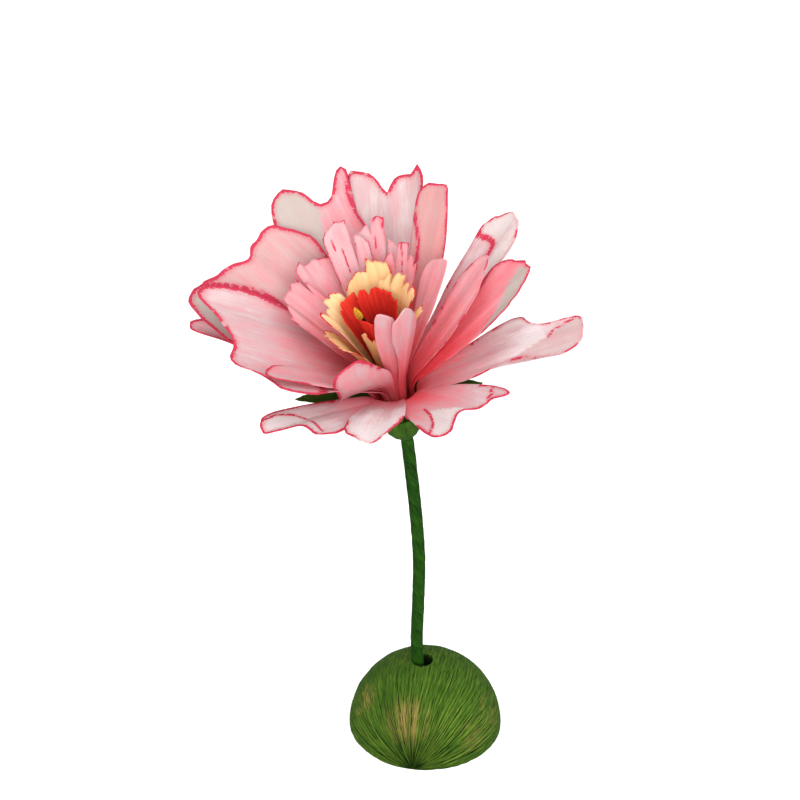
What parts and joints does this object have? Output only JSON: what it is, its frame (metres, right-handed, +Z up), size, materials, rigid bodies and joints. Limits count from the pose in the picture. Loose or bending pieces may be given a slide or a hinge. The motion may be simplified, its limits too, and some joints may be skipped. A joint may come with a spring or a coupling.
{
  "type": "paper flower",
  "caption": "Standing crepe paper peony: cut petals bound in layers round a wire, tape wound stem, calyx and sepals, stuck in a half ball foot covered with pleated green paper.",
  "frame": {"origin": "centre of the flat underside of the foot", "axes": "+Z up, the flower leans towards -Y, which is its front, and +X is to the right of one who looks at the front"},
  "size_m": [0.1751, 0.1318, 0.2938],
  "materials": {
    "petal_paper": "matte crepe, thin enough to glow",
    "petal_red_paper": "matte crepe",
    "petal_cream_paper": "matte crepe",
    "leaf_paper": "matte crepe",
    "foot_paper": "matte crepe in fine pleats",
    "stem_tape": "waxed crepe tape, slight sheen",
    "wire": "plain drawn wire",
    "plaster": "matte cast plaster",
    "pistil": "matte rolled crepe"
  },
  "bodies": {
    "root": {"calyx_cup": "leaf_paper", "cream_strip_back": "petal_cream_paper", "cream_strip_front": "petal_cream_paper", "cream_strip_front_left": "petal_cream_paper", "cream_strip_front_right": "petal_cream_paper", "cream_strip_left": "petal_cream_paper", "cream_strip_right": "petal_cream_paper", "cup_petal_back": "petal_paper", "cup_petal_back_left": "petal_paper", "cup_petal_left": "petal_paper", "cup_petal_left_high": "petal_paper", "cup_petal_left_outer": "petal_paper", "cup_petal_right_inner": "petal_paper", "cup_petal_right_long": "petal_paper", "cup_petal_right_low": "petal_paper", "cup_petal_right_rolled": "petal_paper", "foot_ball": "plaster", "foot_skin": "foot_paper", "inner_petal_back": "petal_paper", "inner_petal_back_left": "petal_paper", "inner_petal_back_right": "petal_paper", "inner_petal_front": "petal_paper", "inner_petal_front_left": "petal_paper", "inner_petal_front_right": "petal_paper", "inner_petal_left": "petal_paper", "inner_petal_left_high": "petal_paper", "inner_petal_right": "petal_paper", "outer_petal_back_left": "petal_paper", "outer_petal_back_right": "petal_paper", "outer_petal_front": "petal_paper", "outer_petal_front_left": "petal_paper", "outer_petal_front_right": "petal_paper", "outer_petal_left_folded": "petal_paper", "outer_petal_right": "petal_paper", "pistil": "pistil", "red_strip_back": "petal_red_paper", "red_strip_front": "petal_red_paper", "red_strip_front_left": "petal_red_paper", "red_strip_left": "petal_red_paper", "red_strip_right": "petal_red_paper", "sepal_back_left": "leaf_paper", "sepal_back_right": "leaf_paper", "sepal_front": "leaf_paper", "sepal_left": "leaf_paper", "sepal_right": "leaf_paper", "side_petal_small": "petal_paper", "stem_tape": "stem_tape", "stem_wire": "wire"}
  },
  "joints": []
}
